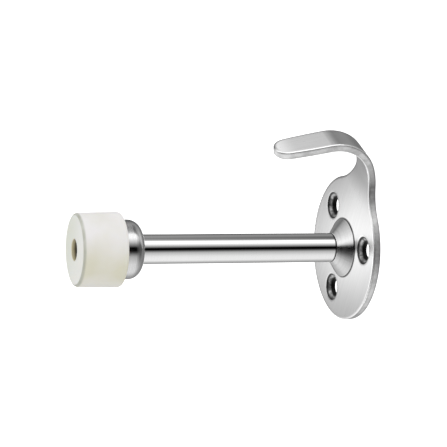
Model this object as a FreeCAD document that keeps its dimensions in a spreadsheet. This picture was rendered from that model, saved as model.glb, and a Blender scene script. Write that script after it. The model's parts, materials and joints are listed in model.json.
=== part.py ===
import FreeCAD, Part
import math
import os
import re

import Sketcher

# Wall-mounted door stop with a coat hook, in millimetres.
#
# The origin is the centre of the round wall plate's back face, on the axis of the rod.
# +Y points into the wall, -Y is the way the stop projects into the room, +Z is up, towards the
# coat hook, and X is the width.
#
# Every turned piece is drawn along its own +Z axis, which its Placement turns to -Y. So a turned
# piece's height is a distance out from the wall, measured from the plane where the piece starts.

DOC = FreeCAD.newDocument("door_stop")

DIMENSIONS = [
    # hook plate: one stamped sheet, a disc with a strip that is bent over into the hook
    ("plate_thick", 3.2),
    ("disc_radius", 30.0),
    ("neck_radius", 23.5),
    ("strip_width", 12.4),
    ("tip_width", 11.2),
    ("bend_height", 34.0),
    ("bend_radius", 18.7),
    ("arm_drop", 13.0),
    ("arm_length", 22.0),
    ("plate_edge", 0.6),
    # three countersunk holes for wall screws, one at the bottom
    ("hole_circle", 40.0),
    ("hole_count", 3),
    ("hole_dia", 6.6),
    ("hole_sink_dia", 11.2),
    ("sink_angle", 90.0),
    # countersunk M5 screw that comes through the plate from the wall side
    ("base_thread_dia", 5.0),
    ("base_clear_dia", 5.5),
    ("base_seat_dia", 10.4),
    ("base_head_dia", 9.2),
    ("base_head_land", 0.3),
    ("base_head_sunk", 0.2),
    ("base_screw_length", 20.0),
    ("base_tap_depth", 18.0),
    ("hex_flats", 3.0),
    ("hex_depth", 1.9),
    # conical collar between plate and rod
    ("collar_base_dia", 24.2),
    ("collar_height", 5.0),
    ("collar_land", 0.5),
    # rod, with a short spigot on each end that centres its neighbour
    ("rod_dia", 12.0),
    ("rod_length", 83.7),
    ("rod_edge", 0.15),
    ("spigot_dia", 8.0),
    ("spigot_gap", 0.1),
    ("rear_spigot", 2.0),
    ("front_spigot", 1.3),
    ("tap_gap", 0.05),
    ("drill_angle", 118.0),
    # drawn cup that holds the bumper
    ("cup_dia", 23.8),
    ("cup_length", 8.4),
    ("cup_round", 5.3),
    ("cup_wall", 1.5),
    # rubber bumper
    ("bumper_length", 18.4),
    ("bumper_back_dia", 30.0),
    ("bumper_front_dia", 29.2),
    ("bumper_back_round", 1.3),
    ("bumper_front_round", 1.5),
    ("bumper_hole_dia", 8.5),
    ("bumper_hole_depth", 15.0),
    ("bumper_hole_round", 0.4),
    ("bumper_screw_hole_dia", 4.6),
    ("boss_gap", 0.2),
    # M4 pan head screw and its washer, deep in the bumper's hole
    ("tip_thread_dia", 4.0),
    ("tip_screw_length", 25.0),
    ("tip_tap_depth", 16.0),
    ("pan_dia", 8.0),
    ("pan_height", 3.1),
    ("pan_side", 1.2),
    ("cross_width", 4.4),
    ("cross_slot", 1.2),
    ("cross_depth", 1.8),
    ("washer_dia", 8.0),
    ("washer_bore", 4.3),
    ("washer_thick", 0.5),
    ("thread_end", 0.5),
]


def make_sheet():
    """Put the driving dimensions in a spreadsheet, one named cell each."""
    sheet = DOC.addObject("Spreadsheet::Sheet", "Dims")
    for row, (alias, value) in enumerate(DIMENSIONS, start=1):
        sheet.set(f"A{row}", alias)
        sheet.set(f"B{row}", str(value))
        sheet.setAlias(f"B{row}", alias)
    DOC.recompute()
    return sheet


SHEET = make_sheet()


def cells(formula):
    """Turn a formula in bare cell names into one that any object of the document can use."""
    names = {alias for alias, _ in DIMENSIONS}
    return re.sub(r"[a-z_]+", lambda word: ("<<Dims>>." if word[0] in names else "") + word[0], formula)


def value_of(formula):
    """The number that a formula gives with the sheet's present values."""
    return float(SHEET.evalExpression(formula))


def bind(thing, prop, formula):
    """Bind a property of an object to a formula in the sheet's cells."""
    thing.setExpression(prop, cells(formula))


# ---------------------------------------------------------------------------- sketching


def new_body(name):
    body = DOC.addObject("PartDesign::Body", name)
    body.Label = name
    return body


def new_sketch(body, name, plane, lift="0", tilt="0"):
    """A sketch on one of the body's own origin planes, lifted off it and tilted about its x."""
    sketch = body.newObject("Sketcher::SketchObject", name)
    face = next(f for f in body.Origin.OriginFeatures if f.Role == plane)
    sketch.AttachmentSupport = [(face, "")]
    sketch.MapMode = "FlatFace"
    if tilt != "0":
        turn = FreeCAD.Rotation(FreeCAD.Vector(1, 0, 0), value_of(tilt))
        sketch.AttachmentOffset = FreeCAD.Placement(FreeCAD.Vector(0, 0, 0), turn)
        bind(sketch, "AttachmentOffset.Rotation.Angle", tilt)
    if lift != "0":
        bind(sketch, "AttachmentOffset.Base.z", lift)
    return sketch


def dimension(sketch, kind, where, formula):
    """Add a dimension to a sketch and bind it to the sheet."""
    index = sketch.addConstraint(Sketcher.Constraint(kind, *where, value_of(formula)))
    name = f"{kind}{index}"
    sketch.renameConstraint(index, name)
    bind(sketch, f"Constraints.{name}", formula)


def pin(sketch, edge, end, point):
    """Fix one end of an edge at a point, each coordinate a formula or plain 0 for on the axis."""
    for kind, axis_line, formula in (("DistanceX", -2, point[0]), ("DistanceY", -1, point[1])):
        if formula == "0":
            sketch.addConstraint(Sketcher.Constraint("PointOnObject", edge, end, axis_line))
        else:
            dimension(sketch, kind, (-1, 1, edge, end), formula)


def numbers(point):
    return FreeCAD.Vector(value_of(point[0]), value_of(point[1]), 0)


def line(end):
    return {"end": end}


def arc(end, centre, radius, turn):
    """An arc to a point; turn is 1 when it runs anticlockwise and -1 when clockwise."""
    return {"end": end, "centre": centre, "radius": radius, "turn": turn}


def draw(sketch, start, path):
    """Draw a closed outline from start through a list of lines and arcs, back to start."""
    here = start
    joints = []
    for step in path:
        begin, finish = numbers(here), numbers(step["end"])
        if "centre" in step:
            centre = numbers(step["centre"])
            first, last = (begin, finish) if step["turn"] > 0 else (finish, begin)
            angles = [math.atan2(p.y - centre.y, p.x - centre.x) for p in (first, last)]
            if angles[1] <= angles[0]:
                angles[1] += 2 * math.pi
            circle = Part.Circle(centre, FreeCAD.Vector(0, 0, 1), (begin - centre).Length)
            edge = sketch.addGeometry(Part.ArcOfCircle(circle, *angles))
            joints.append((edge, (1, 2) if step["turn"] > 0 else (2, 1), step["end"]))
            dimension(sketch, "Radius", (edge,), step["radius"])
        else:
            edge = sketch.addGeometry(Part.LineSegment(begin, finish))
            joints.append((edge, (1, 2), step["end"]))
        here = step["end"]
    for (edge, ends, point), (after, after_ends, _) in zip(joints, joints[1:] + joints[:1]):
        sketch.addConstraint(Sketcher.Constraint("Coincident", edge, ends[1], after, after_ends[0]))
        pin(sketch, edge, ends[1], point)


def polyline(sketch, points):
    draw(sketch, points[0], [line(p) for p in points[1:] + points[:1]])


def circle_at(sketch, point, diameter):
    edge = sketch.addGeometry(Part.Circle(numbers(point), FreeCAD.Vector(0, 0, 1), value_of(diameter) / 2))
    pin(sketch, edge, 3, point)
    dimension(sketch, "Diameter", (edge,), diameter)


# ----------------------------------------------------------------------------- features

# shapes are compared to within these: a volume in mm3, a length in mm, and part of a unit normal
LEAST_CHANGE = 1e-3
SAME_PLACE = 1e-4
SAME_NORMAL = 1e-6


def finish_feature(body, feature, removes):
    """Recompute after a feature and make sure that it added or removed material as it should."""
    solids = [thing for thing in body.Group if thing.isDerivedFrom("PartDesign::Feature")]
    before = solids[-2].Shape.Volume if len(solids) > 1 else 0.0
    body.Tip = feature
    DOC.recompute()
    change = feature.Shape.Volume - before
    if (change < 0) != removes or abs(change) < LEAST_CHANGE:
        raise RuntimeError(f"{feature.Name} changed the volume by {change:.3f}")
    return feature


def pad(body, sketch, length, both_ways=False):
    feature = body.newObject("PartDesign::Pad", sketch.Name + "_pad")
    feature.Profile = sketch
    bind(feature, "Length", length)
    feature.Midplane = both_ways
    return finish_feature(body, feature, removes=False)


def pocket(body, sketch, depth, both_ways=False, along_normal=False):
    feature = body.newObject("PartDesign::Pocket", sketch.Name + "_pocket")
    feature.Profile = sketch
    bind(feature, "Length", depth)
    feature.Midplane = both_ways
    feature.Reversed = along_normal
    return finish_feature(body, feature, removes=True)


def turn_solid(body, sketch):
    """Revolve a half section about the body's own Z axis."""
    feature = body.newObject("PartDesign::Revolution", sketch.Name + "_turned")
    feature.Profile = sketch
    feature.ReferenceAxis = (sketch, ["V_Axis"])
    feature.Angle = 360
    return finish_feature(body, feature, removes=False)


def countersunk_hole(body, sketch, diameter, sink, along_normal=False):
    DOC.recompute()
    feature = body.newObject("PartDesign::Hole", sketch.Name + "_hole")
    feature.Profile = sketch
    feature.DepthType = "ThroughAll"
    feature.Threaded = False
    feature.HoleCutType = "Countersink"
    feature.HoleCutCustomValues = True
    feature.Reversed = along_normal
    bind(feature, "Diameter", diameter)
    bind(feature, "HoleCutDiameter", sink)
    bind(feature, "HoleCutCountersinkAngle", "sink_angle")
    return finish_feature(body, feature, removes=True)


def edges_where(shape, test):
    return [f"Edge{i}" for i, edge in enumerate(shape.Edges, start=1) if test(edge)]


def ring_test(radius, height):
    """A test for the circular edge of a turned piece at a radius and a height of its own axis."""
    want_radius, want_height = value_of(radius), value_of(height)

    def test(edge):
        curve = edge.Curve
        if not isinstance(curve, Part.Circle):
            return False
        off_radius, off_height = abs(curve.Radius - want_radius), abs(curve.Center.z - want_height)
        return max(off_radius, off_height) < SAME_PLACE
    return test


def dress(body, kind, size_name, size, test):
    """Round or chamfer the edges of the body's present shape that pass a test."""
    base = body.Tip
    names = edges_where(base.Shape, test)
    if not names:
        raise RuntimeError(f"{body.Name}: no edge to {kind}")
    feature = body.newObject(f"PartDesign::{kind}", f"{body.Name}_{kind}_{len(body.Group)}")
    feature.Base = (base, names)
    bind(feature, size_name, size)
    return finish_feature(body, feature, removes=True)


def round_edge(body, radius, test):
    return dress(body, "Fillet", "Radius", radius, test)


def chamfer_edge(body, size, test):
    return dress(body, "Chamfer", "Size", size, test)


def place_turned(body, start):
    """Stand a turned piece on the plane at a distance from the wall, its +Z turned to -Y."""
    body.Placement = FreeCAD.Placement(
        FreeCAD.Vector(0, -value_of(start), 0),
        FreeCAD.Rotation(FreeCAD.Vector(1, 0, 0), 90),
    )
    bind(body, "Placement.Base.y", f"-({start})")


# ---------------------------------------------------------------- planes along the rod

COLLAR_START = "plate_thick"
ROD_START = "plate_thick + collar_height"
CUP_START = f"{ROD_START} + rod_length"
BUMPER_START = f"{CUP_START} + cup_length"
WASHER_START = f"{BUMPER_START} + bumper_length - bumper_hole_depth"
TIP_SCREW_START = f"{WASHER_START} + washer_thick"


# --------------------------------------------------------------------------- hook plate


def bent_profile(body):
    """Side view of the bent sheet: wall plate, bend, and an arm that slopes down at its tip."""
    sketch = new_sketch(body, "bent_profile", "YZ_Plane")
    axis = ("-bend_radius", "bend_height")
    inner = "(bend_radius - plate_thick)"

    def on_bend(radius):
        """The point where the bend of this radius runs into the arm."""
        return (f"{axis[0]} - {radius} * sin(arm_drop)", f"{axis[1]} + {radius} * cos(arm_drop)")

    def past_tip(radius):
        y, z = on_bend(radius)
        reach = "(arm_length + plate_thick)"
        return (f"{y} - {reach} * cos(arm_drop)", f"{z} - {reach} * sin(arm_drop)")

    # the sheet starts below the disc and ends past the tip, and the two outlines trim it
    bottom = "-disc_radius - plate_thick"
    draw(sketch, ("0", bottom), [
        line(("0", "bend_height")),
        arc(on_bend("bend_radius"), axis, "bend_radius", 1),
        line(past_tip("bend_radius")),
        line(past_tip(inner)),
        line(on_bend(inner)),
        arc(("-plate_thick", "bend_height"), axis, inner, -1),
        line(("-plate_thick", bottom)),
        line(("0", bottom)),
    ])
    return sketch


def blank_outline(body):
    """Front view: everything outside the disc, the two neck curves and the strip."""
    sketch = new_sketch(body, "blank_outline", "XZ_Plane")
    half = "strip_width / 2"
    neck_x = f"({half} + neck_radius)"
    neck_z = f"sqrt((disc_radius + neck_radius)^2 - {neck_x}^2)"
    share = "disc_radius / (disc_radius + neck_radius)"
    meet_x, meet_z = f"{neck_x} * {share}", f"{neck_z} * {share}"
    top, side = "bend_height + bend_radius + plate_thick", "disc_radius + 2 * plate_thick"
    polyline(sketch, [
        (f"-({side})", f"-({side})"),
        (side, f"-({side})"),
        (side, f"{top} + plate_thick"),
        (f"-({side})", f"{top} + plate_thick"),
    ])
    draw(sketch, (half, top), [
        line((half, neck_z)),
        arc((meet_x, meet_z), (neck_x, neck_z), "neck_radius", 1),
        arc((f"-({meet_x})", meet_z), ("0", "0"), "disc_radius", -1),
        arc((f"-({half})", neck_z), (f"-{neck_x}", neck_z), "neck_radius", 1),
        line((f"-({half})", top)),
        line((half, top)),
    ])
    return sketch


def arm_outline(body):
    """Square to the arm: everything outside its tapering sides and its round tip."""
    bend_end_y = "(-bend_radius - bend_radius * sin(arm_drop))"
    bend_end_z = "(bend_height + bend_radius * cos(arm_drop))"
    # the sketch plane is the arm's upper face, met by the body's Z axis at this height
    height = f"{bend_end_z} - {bend_end_y} * tan(arm_drop)"
    along = f"{bend_end_y} / cos(arm_drop)"
    sketch = new_sketch(body, "arm_outline", "XY_Plane", lift=height, tilt="arm_drop")
    half, tip = "(strip_width / 2)", "(tip_width / 2)"
    straight = f"(arm_length - {tip})"
    # each side is one long arc that leaves the strip straight and runs smoothly into the tip
    side_radius = f"(({straight}^2 + {half}^2 - {tip}^2) / (2 * ({half} - {tip})))"
    share = f"{tip} / ({side_radius} - {tip})"
    tip_centre = ("0", f"{along} - {straight}")
    meet_x = f"{share} * ({side_radius} - {half})"
    meet_y = f"{tip_centre[1]} - {share} * {straight}"
    wide, beyond = "disc_radius", f"{along} - arm_length - 2 * plate_thick"
    draw(sketch, (wide, along), [
        line((wide, beyond)),
        line((f"-{wide}", beyond)),
        line((f"-{wide}", along)),
        line((f"-{half}", along)),
        arc((f"-{meet_x}", meet_y), (f"{side_radius} - {half}", along), side_radius, 1),
        arc(("0", f"{along} - arm_length"), tip_centre, tip, 1),
        arc((meet_x, meet_y), tip_centre, tip, 1),
        arc((half, along), (f"{half} - {side_radius}", along), side_radius, 1),
        line((wide, along)),
    ])
    return sketch


def make_hook_plate():
    body = new_body("hook_plate")
    pad(body, bent_profile(body), "2 * (disc_radius + plate_thick)", both_ways=True)
    pocket(body, blank_outline(body), "8 * disc_radius", both_ways=True)
    pocket(body, arm_outline(body), "4 * plate_thick", both_ways=True)
    round_edge(body, "plate_edge", sheet_rim_test(body.Tip.Shape))

    bottom_hole = new_sketch(body, "wall_hole", "XZ_Plane", lift="plate_thick")
    circle_at(bottom_hole, ("0", "-hole_circle / 2"), "hole_dia")
    hole = countersunk_hole(body, bottom_hole, "hole_dia", "hole_sink_dia")
    ring = body.newObject("PartDesign::PolarPattern", "wall_holes")
    ring.Originals = [hole]
    ring.Axis = (bottom_hole, ["N_Axis"])
    ring.Angle = 360
    bind(ring, "Occurrences", "hole_count")
    finish_feature(body, ring, removes=True)

    centre_hole = new_sketch(body, "base_screw_seat", "XZ_Plane")
    circle_at(centre_hole, ("0", "0"), "base_clear_dia")
    countersunk_hole(body, centre_hole, "base_clear_dia", "base_seat_dia", along_normal=True)
    return body


def sheet_rim_test(shape):
    """A test for the edges where the sheet's rim meets one of its two broad surfaces."""
    def is_broad(face):
        u_low, u_high, v_low, v_high = face.ParameterRange
        quarter = face.normalAt((3 * u_low + u_high) / 4, (3 * v_low + v_high) / 4)
        middle = face.normalAt((u_low + u_high) / 2, (v_low + v_high) / 2)
        return abs(quarter.x) + abs(middle.x) < SAME_NORMAL

    def test(edge):
        sides = [is_broad(face) for face in shape.ancestorsOfType(edge, Part.Face)]
        return sorted(sides) == [False, True]
    return test


# -------------------------------------------------------------------------- turned parts


def make_collar():
    body = new_body("collar")
    sketch = new_sketch(body, "collar_section", "XZ_Plane")
    bore, recess = "base_clear_dia / 2", "spigot_dia / 2 + spigot_gap"
    floor = "collar_height - rear_spigot - spigot_gap"
    polyline(sketch, [
        (bore, "0"),
        ("collar_base_dia / 2", "0"),
        ("collar_base_dia / 2", "collar_land"),
        ("rod_dia / 2", "collar_height"),
        (recess, "collar_height"),
        (recess, floor),
        (bore, floor),
    ])
    turn_solid(body, sketch)
    place_turned(body, COLLAR_START)
    return body


def make_rod():
    body = new_body("rod")
    sketch = new_sketch(body, "rod_section", "XZ_Plane")
    spigot = "spigot_dia / 2"
    rear_tap, front_tap = "base_thread_dia / 2 + tap_gap", "tip_thread_dia / 2 + tap_gap"
    rear_end, front_end = "-rear_spigot", "rod_length + front_spigot"
    rear_floor, front_floor = f"{rear_end} + base_tap_depth", f"{front_end} - tip_tap_depth"
    polyline(sketch, [
        ("0", f"{rear_floor} + ({rear_tap}) / tan(drill_angle / 2)"),
        (rear_tap, rear_floor),
        (rear_tap, rear_end),
        (spigot, rear_end),
        (spigot, "0"),
        ("rod_dia / 2", "0"),
        ("rod_dia / 2", "rod_length"),
        (spigot, "rod_length"),
        (spigot, front_end),
        (front_tap, front_end),
        (front_tap, front_floor),
        ("0", f"{front_floor} - ({front_tap}) / tan(drill_angle / 2)"),
    ])
    turn_solid(body, sketch)
    chamfer_edge(body, "rod_edge", ring_test("rod_dia / 2", "0"))
    chamfer_edge(body, "rod_edge", ring_test("rod_dia / 2", "rod_length"))
    place_turned(body, ROD_START)
    return body


def make_cup():
    body = new_body("cup")
    sketch = new_sketch(body, "cup_section", "XZ_Plane")
    outer, inner = "cup_dia / 2", "cup_dia / 2 - cup_wall"
    hole = "spigot_dia / 2 + spigot_gap"
    centre = ("cup_dia / 2 - cup_round", "cup_round")
    draw(sketch, (hole, "0"), [
        line((centre[0], "0")),
        arc((outer, "cup_round"), centre, "cup_round", 1),
        line((outer, "cup_length")),
        line((inner, "cup_length")),
        line((inner, "cup_round")),
        arc((centre[0], "cup_wall"), centre, "cup_round - cup_wall", -1),
        line((hole, "cup_wall")),
        line((hole, "0")),
    ])
    turn_solid(body, sketch)
    chamfer_edge(body, "rod_edge", ring_test(outer, "cup_length"))
    place_turned(body, CUP_START)
    return body


def make_bumper():
    """Rubber bumper: a boss that plugs into the cup, and a face with a deep screwdriver hole."""
    body = new_body("bumper")
    sketch = new_sketch(body, "bumper_section", "XZ_Plane")
    back, front = "bumper_back_dia / 2", "bumper_front_dia / 2"
    hole, screw = "bumper_hole_dia / 2", "bumper_screw_hole_dia / 2"
    boss = "cup_dia / 2 - cup_wall - boss_gap"
    boss_round = "(cup_round - cup_wall - boss_gap)"
    boss_end = "cup_wall - cup_length"
    centre = (f"{boss} - {boss_round}", f"{boss_end} + {boss_round}")
    hole_floor = "bumper_length - bumper_hole_depth"
    draw(sketch, (screw, boss_end), [
        line((centre[0], boss_end)),
        arc((boss, centre[1]), centre, boss_round, 1),
        line((boss, "0")),
        line((back, "0")),
        line((front, "bumper_length")),
        line((hole, "bumper_length")),
        line((hole, hole_floor)),
        line((screw, hole_floor)),
        line((screw, boss_end)),
    ])
    turn_solid(body, sketch)
    round_edge(body, "bumper_back_round", ring_test(back, "0"))
    round_edge(body, "bumper_front_round", ring_test(front, "bumper_length"))
    round_edge(body, "bumper_hole_round", ring_test(hole, "bumper_length"))
    place_turned(body, BUMPER_START)
    return body


def make_bumper_washer():
    body = new_body("bumper_washer")
    sketch = new_sketch(body, "washer_section", "XZ_Plane")
    outer, bore = "washer_dia / 2", "washer_bore / 2"
    polyline(sketch, [
        (bore, "0"),
        (outer, "0"),
        (outer, "washer_thick"),
        (bore, "washer_thick"),
    ])
    turn_solid(body, sketch)
    place_turned(body, WASHER_START)
    return body


# --------------------------------------------------------------------------------- screws


def make_base_screw():
    """Countersunk screw with a hexagon socket, its head sunk in the plate's wall side."""
    body = new_body("base_screw")
    sketch = new_sketch(body, "base_screw_section", "XZ_Plane")
    thread, head = "base_thread_dia / 2", "base_head_dia / 2"
    polyline(sketch, [
        ("0", "0"),
        (head, "0"),
        (head, "base_head_land"),
        (thread, f"base_head_land + ({head} - {thread}) / tan(sink_angle / 2)"),
        (thread, "base_screw_length - thread_end"),
        (f"{thread} - thread_end", "base_screw_length"),
        ("0", "base_screw_length"),
    ])
    turn_solid(body, sketch)
    socket = new_sketch(body, "hexagon_socket", "XY_Plane")
    reach = "hex_flats / 2 / cos(30)"
    polyline(socket, [(f"{reach} * cos({60 * k + 30})", f"{reach} * sin({60 * k + 30})")
                      for k in range(6)])
    pocket(body, socket, "hex_depth", along_normal=True)
    place_turned(body, "base_head_sunk")
    return body


def make_bumper_screw():
    """Pan head screw with a cross recess, drawn with its head up and its shank down."""
    body = new_body("bumper_screw")
    sketch = new_sketch(body, "bumper_screw_section", "XZ_Plane")
    thread, head = "tip_thread_dia / 2", "pan_dia / 2"
    crown = "pan_height - pan_side"
    # the crown is an arc through the head's upper corner and the middle of its top
    crown_radius = f"(({head})^2 + ({crown})^2) / (2 * ({crown}))"
    draw(sketch, ("0", "-tip_screw_length"), [
        line((f"{thread} - thread_end", "-tip_screw_length")),
        line((thread, "thread_end - tip_screw_length")),
        line((thread, "0")),
        line((head, "0")),
        line((head, "pan_side")),
        arc(("0", "pan_height"), ("0", f"pan_height - {crown_radius}"), crown_radius, 1),
        line(("0", "-tip_screw_length")),
    ])
    turn_solid(body, sketch)
    recess = new_sketch(body, "cross_recess", "XY_Plane", lift="pan_height")
    long, short = "cross_width / 2", "cross_slot / 2"
    quarter = [(long, f"-{short}"), (long, short), (short, short)]
    corners = []
    for x_sign, y_sign, swap in ((1, 1, 0), (1, 1, 1), (-1, -1, 0), (-1, -1, 1)):
        for x, y in quarter:
            x, y = (f"-({y})", x) if swap else (x, y)
            corners.append((f"{x_sign} * ({x})", f"{y_sign} * ({y})"))
    polyline(recess, corners)
    pocket(body, recess, "cross_depth")
    place_turned(body, TIP_SCREW_START)
    return body


# ---------------------------------------------------------------------------------- output


def check_document():
    """Stop if any object failed to recompute."""
    for thing in DOC.Objects:
        if "Invalid" in thing.State or "Error" in thing.State:
            raise RuntimeError(f"{thing.Name} failed: {thing.State}")


def write_step(body):
    shape = body.Shape
    if shape.isNull() or not shape.isValid() or len(shape.Solids) != 1:
        raise RuntimeError(f"{body.Label} has no single valid solid")
    shape.exportStep(os.path.join("parts", f"{body.Label}.step"))
    box = shape.BoundBox
    print(f"{body.Label:14s} {shape.Volume:9.1f} mm3  X {box.XMin:7.2f} {box.XMax:7.2f}"
          f"  Y {box.YMin:8.2f} {box.YMax:7.2f}  Z {box.ZMin:7.2f} {box.ZMax:7.2f}")


def main():
    bodies = [
        make_hook_plate(),
        make_collar(),
        make_rod(),
        make_base_screw(),
        make_cup(),
        make_bumper(),
        make_bumper_washer(),
        make_bumper_screw(),
    ]
    DOC.recompute()
    check_document()
    os.makedirs("parts", exist_ok=True)
    for body in bodies:
        write_step(body)


main()
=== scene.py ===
import json
import math

import bmesh
import bpy
from mathutils import Matrix, Vector


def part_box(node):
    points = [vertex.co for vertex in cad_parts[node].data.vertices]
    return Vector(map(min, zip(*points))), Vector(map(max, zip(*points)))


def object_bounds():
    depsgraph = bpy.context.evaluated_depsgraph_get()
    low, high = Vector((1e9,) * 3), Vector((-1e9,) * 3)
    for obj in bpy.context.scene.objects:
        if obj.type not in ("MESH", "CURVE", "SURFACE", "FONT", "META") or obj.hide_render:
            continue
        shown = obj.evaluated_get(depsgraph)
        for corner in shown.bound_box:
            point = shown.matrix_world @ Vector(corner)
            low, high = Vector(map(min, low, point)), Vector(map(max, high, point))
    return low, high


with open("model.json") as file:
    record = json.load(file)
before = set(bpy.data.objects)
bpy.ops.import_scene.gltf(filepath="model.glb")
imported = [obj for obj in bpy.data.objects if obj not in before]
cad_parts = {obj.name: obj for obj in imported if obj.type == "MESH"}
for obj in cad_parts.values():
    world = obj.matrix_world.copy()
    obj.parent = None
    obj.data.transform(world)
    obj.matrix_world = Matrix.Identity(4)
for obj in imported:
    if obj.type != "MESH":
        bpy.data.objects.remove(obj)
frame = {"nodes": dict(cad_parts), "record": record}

# Wall-mounted door stop with a coat hook. Metres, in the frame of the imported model: the origin is
# the centre of the plate's wall face, -Y runs along the rod into the room and +Z is up.

MM = 0.001
CAD_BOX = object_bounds()

# ---------------------------------------------------------------------------------- camera

# The camera looks down on the stop from its bumper end, and is rolled so that the rod lies level.
VIEW_AZIMUTH = math.radians(66.19)
VIEW_ELEVATION = math.radians(30.53)
VIEW_ROLL = math.radians(12.46)
VIEW_DISTANCE = 0.6118
VIEW_AIM = Vector((-4.47, -56.65, 9.22)) * MM
LENS_MM = 121.5
SENSOR_MM = 36.0


def make_camera():
    back = Vector((
        math.sin(VIEW_AZIMUTH) * math.cos(VIEW_ELEVATION),
        -math.cos(VIEW_AZIMUTH) * math.cos(VIEW_ELEVATION),
        math.sin(VIEW_ELEVATION),
    ))
    level_right = Vector((math.cos(VIEW_AZIMUTH), math.sin(VIEW_AZIMUTH), 0))
    level_up = back.cross(level_right)
    right = math.cos(VIEW_ROLL) * level_right + math.sin(VIEW_ROLL) * level_up
    up = back.cross(right)
    data = bpy.data.cameras.new("camera")
    data.lens = LENS_MM
    data.sensor_width = SENSOR_MM
    data.clip_start = 0.01
    data.clip_end = 50.0
    camera = bpy.data.objects.new("camera", data)
    bpy.context.scene.collection.objects.link(camera)
    turn = Matrix((right, up, back)).transposed().to_4x4()
    camera.matrix_world = Matrix.Translation(VIEW_AIM + VIEW_DISTANCE * back) @ turn
    bpy.context.scene.camera = camera


# ---------------------------------------------------------------- places that materials refer to


def mount_dims(name):
    return next(mount["dims"] for mount in frame["record"]["mounts"] if mount["name"] == name)


def outer_radius(node):
    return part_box(node)[1][0]


# the wall holes, and the radius of their countersinks at the sheet's front
SCREW_HOLES = mount_dims("screw_holes")
HOLE_COUNT = SCREW_HOLES["count"]
HOLE_RING = SCREW_HOLES["pcd_mm"] / 2 * MM
HOLE_BORE = SCREW_HOLES["hole_r_mm"] * MM
HOLE_MOUTH = 5.6 * MM

# the bent strip: the height where its bend starts, the outer radius of the bend, the arm's slope
# down from level, and the width of what shows along the sheet's edges
BEND_START = 34.0 * MM
BEND_RADIUS = 18.7 * MM
ARM_DROP = math.radians(13)
ARM_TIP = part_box("hook_plate")[0][1]
EDGE_BAND = 1.8 * MM

COLLAR_RADIUS = outer_radius("collar")
COLLAR_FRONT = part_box("collar")[0][1]
COLLAR_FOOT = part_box("collar")[1][1]
RUBBER_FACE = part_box("bumper")[0][1]
RUBBER_RADIUS = outer_radius("bumper")
RUBBER_HOLE = 4.25 * MM


# ------------------------------------------------------------------------------ node helpers

# where a noise mostly lies, and the narrower range that makes blotches of it
NOISE_LOW = 0.3
NOISE_HIGH = 0.7
BLOTCH_LOW = 0.35
BLOTCH_HIGH = 0.65


class Graph:
    """A short way to write a node tree."""

    def __init__(self, tree):
        self.tree = tree
        tree.nodes.clear()

    def node(self, kind, settings=None, **inputs):
        made = self.tree.nodes.new(kind)
        for name, value in (settings or {}).items():
            setattr(made, name, value)
        for name, value in inputs.items():
            self.feed(made, int(name[1:]) if name[0] == "_" else name.replace("_", " "), value)
        return made

    def feed(self, node, socket, value):
        target = node.inputs[socket]
        if isinstance(value, bpy.types.NodeSocket):
            self.tree.links.new(value, target)
        else:
            target.default_value = value

    def math(self, operation, a, b=0.0, clamp=False):
        made = self.node("ShaderNodeMath", {"operation": operation, "use_clamp": clamp}, _0=a, _1=b)
        return made.outputs[0]

    def times(self, a, b):
        return self.math("MULTIPLY", a, b)

    def dot(self, a, b):
        made = self.node("ShaderNodeVectorMath", {"operation": "DOT_PRODUCT"}, _0=a, _1=b)
        return made.outputs["Value"]

    def scaled(self, vector, by):
        made = self.node("ShaderNodeVectorMath", {"operation": "MULTIPLY"}, _0=vector, _1=by)
        return made.outputs[0]

    def length(self, vector):
        made = self.node("ShaderNodeVectorMath", {"operation": "LENGTH"}, _0=vector)
        return made.outputs["Value"]

    def split(self, vector):
        return self.node("ShaderNodeSeparateXYZ", None, Vector=vector).outputs

    def join(self, x=0.0, y=0.0, z=0.0):
        return self.node("ShaderNodeCombineXYZ", None, X=x, Y=y, Z=z).outputs[0]

    def smooth(self, value, start, end, low=0.0, high=1.0):
        """low before start, high past end, with a smooth step between."""
        made = self.node("ShaderNodeMapRange", {"interpolation_type": "SMOOTHSTEP"},
                         _0=value, _1=start, _2=end, _3=low, _4=high)
        return made.outputs[0]

    def ramp(self, value, start, end, low, high):
        """The same, with a straight step between."""
        made = self.node("ShaderNodeMapRange", None, _0=value, _1=start, _2=end, _3=low, _4=high)
        return made.outputs[0]

    def spread(self, noise, low, high):
        """A noise, which lies mostly about its middle, made to run from low to high."""
        return self.ramp(noise, NOISE_LOW, NOISE_HIGH, low, high)

    def blend(self, noise, tones):
        """A noise as a soft mix of a darker and a lighter grey."""
        dark, light = tones
        return self.mix_colour(self.smooth(noise, NOISE_LOW, NOISE_HIGH), grey(dark), grey(light))

    def blotches(self, noise, tones):
        """The same as blend, with harder borders between the greys."""
        dark, light = tones
        return self.mix_colour(self.smooth(noise, BLOTCH_LOW, BLOTCH_HIGH), grey(dark), grey(light))

    def mix(self, factor, a, b):
        """Between two plain numbers or number sockets."""
        made = self.node("ShaderNodeMix", {"data_type": "FLOAT"}, _0=factor, _2=a, _3=b)
        return made.outputs[0]

    def mix_colour(self, factor, a, b):
        made = self.node("ShaderNodeMix", {"data_type": "RGBA"}, _0=factor, _6=a, _7=b)
        return made.outputs[2]

    def noise(self, vector, scale, detail=2.0, roughness=0.5):
        made = self.node("ShaderNodeTexNoise", None, Vector=vector, Scale=scale, Detail=detail,
                         Roughness=roughness)
        return made.outputs[0]

    def bump(self, height, strength, distance):
        made = self.node("ShaderNodeBump", None, Strength=strength, Distance=distance, Height=height)
        return made.outputs[0]

    def place(self):
        """The point's own place in the shared frame."""
        return self.node("ShaderNodeTexCoord").outputs["Object"]


def new_material(name):
    material = bpy.data.materials.new(name)
    material.use_nodes = True
    return material, Graph(material.node_tree)


def finish_material(graph, shader):
    graph.node("ShaderNodeOutputMaterial", None, Surface=shader.outputs[0])


def grey(value):
    return (value, value, value, 1.0)


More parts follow.
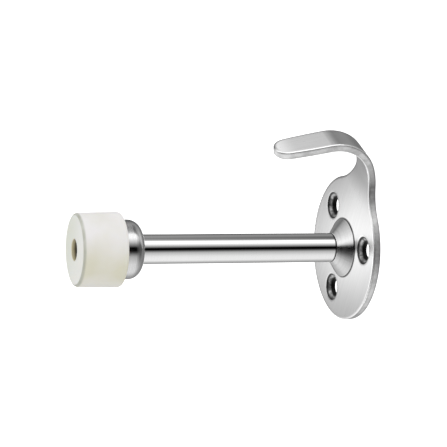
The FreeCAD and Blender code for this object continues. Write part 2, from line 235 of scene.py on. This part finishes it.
def from_rod_axis(g, at):
    """How far a point lies from the rod's axis."""
    return g.length(g.join(x=at["X"], z=at["Z"]))


# near-black painted shade, for the seam round the collar, the collar's foot and the mouths of the wall
# holes
PAINTED_SHADE = grey(0.04)
FINE_GRAIN = 0.02 * MM

# ------------------------------------------------------------------- material: satin sheet

SHEET_TONES = (0.61, 0.69)
# painted shade on the sheet's neck and towards -X
SHEET_SHADE = grey(0.34)
# painted highlight on the arm's tip
TIP_HIGHLIGHT_TONE = grey(0.98)
# painted highlight and painted shade for the rounded edges, and a painted shade line along the rim
EDGE_HIGHLIGHT_TONE = grey(1.0)
FAR_EDGE_SHADE = grey(0.26)
RIM_LINE_SHADE = grey(0.25)
CLEAN_RIM_TONES = (0.58, 0.72)
STAINED_RIM_TONES = (0.54, 0.74)
# painted shade in the countersinks and their bores
SINK_SHADE_TONES = (0.16, 0.58)
BORE_SHADE = grey(0.012)
RIM_ROUGHNESS = 0.42


def sheet_facing(g, normal, at):
    """How squarely a point of the bent sheet looks out of one of the two broad faces: 1 on a broad
    face, 0 on the sheared rim, between on the rounded edges."""
    parts = g.split(normal)
    on_plate = g.math("ABSOLUTE", parts["Y"])
    on_arm = g.math("ABSOLUTE", g.dot(normal, (0, -math.sin(ARM_DROP), math.cos(ARM_DROP))))
    on_bend = g.math("SQRT", g.math("SUBTRACT", 1.0, g.times(parts["X"], parts["X"]), clamp=True))
    past_bend = g.smooth(at["Y"], -BEND_RADIUS + MM, -BEND_RADIUS - MM)
    above = g.smooth(at["Z"], BEND_START - MM, BEND_START + MM)
    return g.mix(above, on_plate, g.mix(past_bend, on_bend, on_arm))


def brush_lines(g, place):
    """Lines brushed along the strip, which differ only across X."""
    fine = g.noise(g.scaled(place, (5200, 90, 90)), 1.0, 3.0, 0.6)
    broad = g.noise(g.scaled(place, (1500, 40, 40)), 1.0, 3.0)
    return g.math("ADD", g.times(fine, 0.6), g.times(broad, 0.4))


def rim_colour(g, place, at):
    """The sheared rim is blotched, a little more so on the neck than round the disc."""
    blotch = g.noise(g.scaled(place, (330, 200, 330)), 1.0, 4.0, 0.6)
    clean = g.blotches(blotch, CLEAN_RIM_TONES)
    stained = g.blotches(blotch, STAINED_RIM_TONES)
    on_neck = g.smooth(at["Z"], -8 * MM, 12 * MM, 0.35, 1.0)
    return g.mix_colour(on_neck, clean, stained)


def shaded_parts(g, at, facing):
    """Mask for where the broad faces get painted shade: on the neck, and towards
    -X on the plate."""
    from_below = g.smooth(at["Z"], BEND_START - 11 * MM, BEND_START + 2 * MM)
    from_above = g.smooth(at["Z"], BEND_START + 12 * MM, BEND_START)
    neck = g.times(g.times(from_below, from_above), 0.7)
    left = g.smooth(at["X"], 2 * MM, -22 * MM, 0.0, 0.28)
    return g.times(g.math("MAXIMUM", neck, left), g.smooth(facing, 0.5, 0.9))


def paint_edge_light_and_shade(g, colour, normal, facing):
    """The rounded edges and the broad faces close beside them get a painted highlight on the +X side,
    and painted shade on the other. The rim gets a line of painted shade along its edges."""
    edge = g.times(g.smooth(facing, 0.40, 0.60), g.smooth(facing, 0.995, 0.95))
    rounded = g.node("ShaderNodeBevel", {"samples": 8}, Radius=EDGE_BAND).outputs[0]
    lean = g.dot(rounded, normal)
    beside = g.times(g.smooth(lean, 0.9998, 0.985), g.smooth(facing, 0.5, 0.9))
    below = g.times(g.smooth(lean, 0.995, 0.94), g.smooth(facing, 0.60, 0.40))
    edge_paint = g.mix_colour(g.smooth(g.split(rounded)["X"], -0.05, 0.25), FAR_EDGE_SHADE, EDGE_HIGHLIGHT_TONE)
    colour = g.mix_colour(g.math("MAXIMUM", edge, g.times(beside, 0.9)), colour, edge_paint)
    return g.mix_colour(g.times(below, 0.6), colour, RIM_LINE_SHADE)


def wall_hole_zones(g, at):
    """Masks for the countersinks, the straight bores below them and the edges of their mouths."""
    flat = g.join(x=at["X"], y=at["Z"])
    sink = bore = mouth = 0.0
    # the first hole is straight below the rod
    for turn in range(HOLE_COUNT):
        angle = math.radians(-90 + turn * 360 / HOLE_COUNT)
        centre = (HOLE_RING * math.cos(angle), HOLE_RING * math.sin(angle), 0)
        apart = g.node("ShaderNodeVectorMath", {"operation": "DISTANCE"}, _0=flat, _1=centre)
        away = apart.outputs["Value"]
        off_mouth = g.math("ABSOLUTE", g.math("SUBTRACT", away, HOLE_MOUTH))
        within = g.smooth(away, HOLE_MOUTH + 0.15 * MM, HOLE_MOUTH)
        lip = g.times(within, g.smooth(off_mouth, 0.9 * MM, 0.4 * MM))
        mouth = g.math("MAXIMUM", mouth, lip)
        sink = g.math("MAXIMUM", sink, g.smooth(away, HOLE_MOUTH + 0.2 * MM, HOLE_MOUTH - 0.1 * MM))
        bore = g.math("MAXIMUM", bore, g.smooth(away, HOLE_BORE + 1.2 * MM, HOLE_BORE + 0.5 * MM))
    return sink, bore, mouth


def shade_wall_holes(g, colour, place, at, in_front):
    """The punched countersinks get mottled painted shade, their bores and the edges of their mouths
    most of all. The sheet's back gets none. Gives the colour and the mask of the countersinks."""
    sink, bore, mouth = wall_hole_zones(g, at)
    inside = g.smooth(at["Y"], -0.02 * MM, -0.10 * MM)
    sink = g.times(sink, in_front)
    mouth = g.times(mouth, in_front)
    mottled_shade = g.blotches(g.noise(place, 600.0, 4.0), SINK_SHADE_TONES)
    colour = g.mix_colour(sink, colour, mottled_shade)
    colour = g.mix_colour(g.times(mouth, 0.9), colour, PAINTED_SHADE)
    colour = g.mix_colour(g.times(bore, inside), colour, BORE_SHADE)
    return colour, sink


def satin_steel():
    """Stamped stainless sheet with a brushed face."""
    material, g = new_material("satin_steel")
    coords = g.node("ShaderNodeTexCoord").outputs
    place = coords["Object"]
    normal = coords["Normal"]
    at = g.split(place)
    facing = sheet_facing(g, normal, at)
    rim = g.smooth(facing, 0.40, 0.15)
    lines = brush_lines(g, place)
    cloud = g.noise(place, 55.0, 2.0)

    colour = g.mix_colour(rim, g.blend(lines, SHEET_TONES), rim_colour(g, place, at))
    # painted shade on the neck and towards -X on the plate
    colour = g.mix_colour(shaded_parts(g, at, facing), colour, SHEET_SHADE)
    # a painted highlight brightens the arm's tip
    tip_highlight = g.smooth(at["Y"], ARM_TIP + 9 * MM, ARM_TIP, 0.0, 0.8)
    colour = g.mix_colour(tip_highlight, colour, TIP_HIGHLIGHT_TONE)
    # painted highlight on the +X edges, painted shade on the others and along the rim
    colour = paint_edge_light_and_shade(g, colour, normal, facing)
    in_front = g.smooth(at["Y"], -0.4 * MM, -0.9 * MM)
    # painted shade in the countersinks, their bores and the edges of their mouths
    colour, sink = shade_wall_holes(g, colour, place, at, in_front)
    # a line of painted shade where the collar sits on the sheet
    off_seam = g.math("ABSOLUTE", g.math("SUBTRACT", from_rod_axis(g, at), COLLAR_RADIUS))
    seam_shade = g.times(g.smooth(off_seam, 0.75 * MM, 0.25 * MM), in_front)
    colour = g.mix_colour(g.times(seam_shade, 0.95), colour, PAINTED_SHADE)

    brushed = g.math("ADD", g.spread(lines, 0.27, 0.33), g.spread(cloud, -0.02, 0.02))
    roughness = g.mix(g.math("MAXIMUM", rim, sink), brushed, RIM_ROUGHNESS)
    shader = g.node("ShaderNodeBsdfPrincipled", None, Base_Color=colour, Metallic=1.0, Anisotropic=0.5,
                    Roughness=roughness, Normal=g.bump(lines, 0.2, FINE_GRAIN), Tangent=g.join(x=1.0))
    finish_material(g, shader)
    return material


# ---------------------------------------------------------------- materials: bar, turned, screw

# painted shadow where the rod stands in the collar
CORNER_SHADE = grey(0.03)
TURNED_TONES = (0.59, 0.71)
GROOVES_PER_METRE = 3500.0


def polished_steel():
    """Bright drawn bar with faint marks round it from the polishing wheel."""
    material, g = new_material("polished_steel")
    place = g.place()
    rings = g.noise(g.scaled(place, (40, 1600, 40)), 1.0, 3.0, 0.6)
    smudge = g.noise(place, 90.0, 3.0)
    bar = g.mix_colour(rings, grey(0.74), grey(0.80))
    # painted shadow in the corner where the bar stands in the collar
    corner = g.smooth(g.split(place)["Y"], COLLAR_FRONT - 1.1 * MM, COLLAR_FRONT - 0.5 * MM, 0.0, 0.95)
    colour = g.mix_colour(corner, bar, CORNER_SHADE)
    roughness = g.math("ADD", g.spread(rings, 0.035, 0.065), g.ramp(smudge, 0.4, 0.8, 0.0, 0.02))
    shader = g.node("ShaderNodeBsdfPrincipled", None, Base_Color=colour, Metallic=1.0,
                    Roughness=roughness, Normal=g.bump(rings, 0.08, FINE_GRAIN / 2))
    finish_material(g, shader)
    return material


def turned_steel():
    """Lathe-turned pieces: fine grooves round the rod's axis, which spread highlights across them."""
    material, g = new_material("turned_steel")
    place = g.place()
    at = g.split(place)
    out = g.times(from_rod_axis(g, at), GROOVES_PER_METRE)
    along = g.times(at["Y"], GROOVES_PER_METRE)
    grooves = g.noise(g.join(x=out, y=along), 1.0, 3.0, 0.65)
    cloud = g.noise(place, 120.0, 2.0)
    # painted shade where the collar's foot meets the sheet
    foot_shade = g.smooth(at["Y"], COLLAR_FOOT - 0.6 * MM, COLLAR_FOOT - 0.2 * MM, 0.0, 0.92)
    colour = g.mix_colour(foot_shade, g.blend(grooves, TURNED_TONES), PAINTED_SHADE)
    roughness = g.math("ADD", g.spread(grooves, 0.10, 0.17), g.spread(cloud, -0.02, 0.03))
    tangent = g.node("ShaderNodeTangent", {"direction_type": "RADIAL", "axis": "Y"}).outputs[0]
    shader = g.node("ShaderNodeBsdfPrincipled", None, Base_Color=colour, Metallic=1.0, Anisotropic=0.7,
                    Roughness=roughness, Normal=g.bump(grooves, 0.25, FINE_GRAIN), Tangent=tangent)
    shader.inputs["Anisotropic Rotation"].default_value = 0.25
    finish_material(g, shader)
    return material


def screw_steel():
    """Plain stainless screws and washer."""
    material, g = new_material("screw_steel")
    grain = g.noise(g.place(), 1500.0, 3.0)
    colour = g.mix_colour(grain, grey(0.42), grey(0.55))
    shader = g.node("ShaderNodeBsdfPrincipled", None, Base_Color=colour, Metallic=1.0,
                    Roughness=g.spread(grain, 0.28, 0.42), Normal=g.bump(grain, 0.15, FINE_GRAIN))
    finish_material(g, shader)
    return material


# ------------------------------------------------------------------------ material: rubber

UPPER_SIDE_RUBBER = (0.88, 0.865, 0.86, 1)
LOWER_SIDE_RUBBER = (0.745, 0.725, 0.59, 1)
# painted shade on the rubber's face, darker towards -X and on its rounded edge
FACE_BRIGHT_TONE = (0.93, 0.93, 0.90, 1)
FACE_SHADED_TONE = (0.80, 0.83, 0.75, 1)
FACE_ROUND_SHADE = (0.46, 0.47, 0.40, 1)
# painted shade in the rubber's hole, from tan at its mouth to near black deep in
HOLE_MOUTH_SHADE = (0.72, 0.64, 0.40, 1)
HOLE_DEPTH_SHADE = (0.05, 0.035, 0.02, 1)
RUBBER_GRAIN = 0.03 * MM


def rubber_side(g, place, at):
    """The side turns darker and yellower below its top in patches, most about its middle height."""
    cloud = g.noise(place, 60.0, 3.0)
    low = g.smooth(at["Z"], 0.9 * RUBBER_RADIUS, -0.1 * RUBBER_RADIUS, 0.0, 1.1)
    underside = g.smooth(at["Z"], 0.0, -0.7 * RUBBER_RADIUS, 1.0, 0.45)
    lower_tone = g.math("ADD", g.times(low, underside), g.spread(cloud, -0.30, 0.30), clamp=True)
    return g.mix_colour(lower_tone, UPPER_SIDE_RUBBER, LOWER_SIDE_RUBBER)


def shade_rubber_face(g, colour, place, at, behind_face):
    """Painted shade: the face turns a darker greenish grey towards -X, strongest in patches on its
    rounded edge.
    """
    on_face = g.smooth(behind_face, 0.5 * MM, 0.1 * MM)
    shaded_side = g.smooth(at["X"], RUBBER_RADIUS, -RUBBER_RADIUS)
    colour = g.mix_colour(g.times(on_face, 0.85), colour, g.mix_colour(shaded_side, FACE_BRIGHT_TONE, FACE_SHADED_TONE))
    on_round = g.times(g.smooth(behind_face, 0.02 * MM, 0.2 * MM),
                       g.smooth(behind_face, 1.5 * MM, 0.6 * MM))
    patchy = g.ramp(g.noise(place, 180.0, 3.0), BLOTCH_LOW, BLOTCH_HIGH, 0.65, 1.0)
    return g.mix_colour(g.times(g.times(on_round, patchy), 0.95), colour, FACE_ROUND_SHADE)


def shade_rubber_hole(g, colour, at, behind_face):
    """Painted shade in the screwdriver's hole: brown, darker with depth."""
    in_hole = g.times(g.smooth(from_rod_axis(g, at), RUBBER_HOLE + 0.35 * MM, RUBBER_HOLE + 0.1 * MM),
                      g.ramp(behind_face, 0.0, 1.5 * MM, 0.6, 1.0))
    hole_shade = g.mix_colour(g.smooth(behind_face, 0.6 * MM, 2.0 * MM), HOLE_MOUTH_SHADE, HOLE_DEPTH_SHADE)
    return g.mix_colour(in_hole, colour, hole_shade)


def white_rubber():
    """Moulded off-white rubber: matt and a little translucent, with painted shade on its face and in
    its hole.
    """
    material, g = new_material("white_rubber")
    place = g.place()
    at = g.split(place)
    behind_face = g.math("SUBTRACT", at["Y"], RUBBER_FACE)
    colour = rubber_side(g, place, at)
    # painted shade on the face and in the hole
    colour = shade_rubber_face(g, colour, place, at, behind_face)
    colour = shade_rubber_hole(g, colour, at, behind_face)
    speck = g.noise(place, 2600.0, 2.0, 0.6)
    shader = g.node("ShaderNodeBsdfPrincipled", None, Base_Color=colour,
                    Roughness=g.spread(speck, 0.42, 0.58), Normal=g.bump(speck, 0.12, RUBBER_GRAIN))
    shader.inputs["Subsurface Weight"].default_value = 0.08
    shader.inputs["Subsurface Radius"].default_value = (1.0, 0.8, 0.5)
    shader.inputs["Subsurface Scale"].default_value = 0.8 * MM
    shader.inputs["Specular IOR Level"].default_value = 0.35
    finish_material(g, shader)
    return material


# ------------------------------------------------------------------------------------ stage

# The light is arranged about the rod: it turns about the rod by this much from upright, so that
# its "up" is the picture's up and its "near" side is the camera's.
LIGHT_TURN = math.radians(32.8)
LIGHT_NEAR = Vector((math.cos(LIGHT_TURN), 0, math.sin(LIGHT_TURN)))
LIGHT_UP = Vector((-math.sin(LIGHT_TURN), 0, math.cos(LIGHT_TURN)))
LIGHT_ALONG = Vector((0, 1, 0))

# What the metal mirrors, as rings about the rod's axis. A ring's first number says which way it
# looks along the rod, from +1 straight at the wall to -1 straight into the room. Its tones follow
# by the angle from the near side, + upwards, in degrees. On the near side there is a black gap
# with a white box above it and a white table below. The far side is grey, and lighter towards
# the room.
RINGS = (
    (0.90, (
        (-180, 0.25), (-90, 0.34), (-40, 0.16), (0, 0.11), (35, 0.16), (60, 0.60), (95, 0.85),
        (140, 0.30),
    )),
    (0.45, (
        (-180, 0.20), (-130, 0.45), (-95, 1.05), (-60, 1.00), (-28, 0.58), (-14, 0.10), (-7, 0.0),
        (8, 0.0), (20, 0.40), (34, 1.00), (46, 1.60), (62, 1.60), (70, 0.28), (85, 0.10),
        (105, 0.18), (125, 0.42), (150, 0.10),
    )),
    (0.28, (
        (-180, 0.20), (-130, 0.50), (-100, 1.10), (-60, 1.05), (-28, 0.62), (-12, 0.10), (-6, 0.0),
        (8, 0.0), (20, 0.40), (34, 1.00), (46, 1.50), (60, 1.50), (74, 0.50), (90, 0.28),
        (110, 0.42), (140, 0.16),
    )),
    (0.08, (
        (-180, 0.30), (-150, 0.75), (-110, 1.00), (-60, 1.10), (-28, 0.70), (-13, 0.15), (7, 0.0),
        (20, 0.50), (40, 1.60), (90, 1.60), (115, 1.08), (150, 0.35),
    )),
    (-0.30, (
        (-180, 0.18), (-160, 0.60), (-140, 0.92), (-120, 0.95), (-90, 1.10), (-60, 1.00),
        (-28, 0.60), (-13, 0.10), (7, 0.0), (20, 0.50), (45, 1.60), (66, 1.60), (80, 0.60),
        (110, 0.40), (150, 0.24),
    )),
    (-0.60, (
        (-180, 1.15), (-150, 1.10), (-110, 0.95), (-80, 0.90), (-28, 0.40), (-13, 0.10), (7, 0.05),
        (30, 0.50), (60, 1.50), (95, 1.20), (130, 0.70), (160, 1.00),
    )),
    (-0.92, (
        (-180, 0.95), (-120, 0.80), (-95, 0.45), (-75, 0.06), (-50, 0.0), (10, 0.0), (35, 0.14),
        (52, 0.95), (75, 1.60), (105, 1.10), (140, 0.55),
    )),
)

# the even light that falls on what is matt, and how it differs from below to above
MATT_FILL = 0.93
FILL_BELOW = 0.92
FILL_ABOVE = 1.06

# The plate mirrors a glowing card in this spot beside the collar. The card stands at the distance
# from it, that way, and fades out over a few spreads.
GLOW_SPOT = Vector((33, -3, 22)) * MM
GLOW_WAY = Vector((-0.79, -0.43, -0.51)).normalized()
GLOW_DISTANCE = 0.12
GLOW_SPREAD = 0.016
GLOW_PEAK = 1.40

FLOOR_SIZE = 3.0
FLOOR_DROP = 0.25


def ring_tone(g, angle, stops):
    """The tone round one ring. The ramp runs from -180 to 180 degrees and closes on itself."""
    brightest = max(tone for degrees, tone in stops)
    ramp = g.node("ShaderNodeValToRGB", None, Fac=angle)
    marks = ramp.color_ramp.elements
    closed = stops + ((180, stops[0][1]),)
    while len(marks) < len(closed):
        marks.new(0.5)
    for mark, (degrees, tone) in zip(marks, closed):
        mark.position = (degrees + 180) / 360
        mark.color = grey(tone / brightest)
    return g.times(ramp.outputs["Color"], brightest)


def make_studio():
    """The light round the stop: the rings for what shines, an even fill for what is matt, and plain
    white behind it all."""
    world = bpy.data.worlds.new("studio")
    bpy.context.scene.world = world
    world.use_nodes = True
    g = Graph(world.node_tree)
    ray = g.node("ShaderNodeTexCoord").outputs["Generated"]
    along = g.dot(ray, LIGHT_ALONG)
    turn = g.math("ARCTAN2", g.dot(ray, LIGHT_UP), g.dot(ray, LIGHT_NEAR))
    angle = g.ramp(turn, -math.pi, math.pi, 0.0, 1.0)
    light = ring_tone(g, angle, RINGS[0][1])
    for (wallward, _), (roomward, stops) in zip(RINGS, RINGS[1:]):
        light = g.mix(g.ramp(along, wallward, roomward, 0.0, 1.0), light, ring_tone(g, angle, stops))
    path = g.node("ShaderNodeLightPath").outputs
    fill = g.ramp(g.dot(ray, LIGHT_UP), -1.0, 1.0, FILL_BELOW, FILL_ABOVE)
    light = g.mix(path["Is Diffuse Ray"], light, g.times(fill, MATT_FILL))
    light = g.mix(path["Is Camera Ray"], light, 1.0)
    colour = g.node("ShaderNodeCombineColor", None, Red=light, Green=light, Blue=light).outputs[0]
    background = g.node("ShaderNodeBackground", None, Color=colour, Strength=1.0)
    g.node("ShaderNodeOutputWorld", None, Surface=background.outputs[0])


def flat_sheet(name, half_width):
    """A square sheet about the origin, which looks up."""
    mesh = bpy.data.meshes.new(name)
    shape = bmesh.new()
    bmesh.ops.create_grid(shape, x_segments=1, y_segments=1, size=half_width)
    shape.to_mesh(mesh)
    shape.free()
    sheet = bpy.data.objects.new(name, mesh)
    bpy.context.scene.collection.objects.link(sheet)
    return sheet


def make_floor():
    """A plain pale floor, well below the stop, which hangs in the air as on its wall."""
    floor = flat_sheet("floor", FLOOR_SIZE)
    floor.location = (0, 0, CAD_BOX[0][2] - FLOOR_DROP)
    material, g = new_material("pale_floor")
    tone = g.mix_colour(g.noise(g.place(), 3.0, 2.0), grey(0.86), grey(0.90))
    shader = g.node("ShaderNodeBsdfPrincipled", None, Base_Color=tone, Roughness=0.9)
    shader.inputs["Emission Color"].default_value = grey(1.0)
    shader.inputs["Emission Strength"].default_value = 0.6
    finish_material(g, shader)
    floor.data.materials.append(material)
    floor.visible_glossy = False
    floor.visible_diffuse = False
    floor.visible_transmission = False


def make_plate_glow():
    """A soft glowing card low behind the stop. The plate mirrors it beside the collar."""
    card = flat_sheet("glow_card", 3 * GLOW_SPREAD)
    card.location = GLOW_SPOT + GLOW_DISTANCE * GLOW_WAY
    card.rotation_euler = GLOW_WAY.to_track_quat("Z", "Y").to_euler()
    material, g = new_material("glow")
    fade = g.smooth(g.length(g.place()), 2.6 * GLOW_SPREAD, 0.0, 0.0, GLOW_PEAK)
    glow = g.node("ShaderNodeEmission", None, Strength=fade)
    clear = g.node("ShaderNodeBsdfTransparent")
    both = g.node("ShaderNodeAddShader", None, _0=glow.outputs[0], _1=clear.outputs[0])
    finish_material(g, both)
    card.data.materials.append(material)
    card.visible_camera = False
    card.visible_diffuse = False
    card.visible_shadow = False


# ------------------------------------------------------------------------------------- scene


def dress(material, nodes):
    for node in nodes:
        piece = frame["nodes"][node]
        piece.data.materials.clear()
        piece.data.materials.append(material)


bpy.context.scene.view_settings.view_transform = "Standard"
make_camera()
make_floor()
make_studio()
make_plate_glow()

dress(satin_steel(), ("hook_plate",))
dress(polished_steel(), ("rod",))
dress(turned_steel(), ("collar", "cup"))
dress(screw_steel(), ("base_screw", "bumper_screw", "bumper_washer"))
dress(white_rubber(), ("bumper",))

# these pieces are not mirrored, so that the steel shows little but the studio
for name in ("hook_plate", "collar", "bumper", "rod"):
    frame["nodes"][name].visible_glossy = False
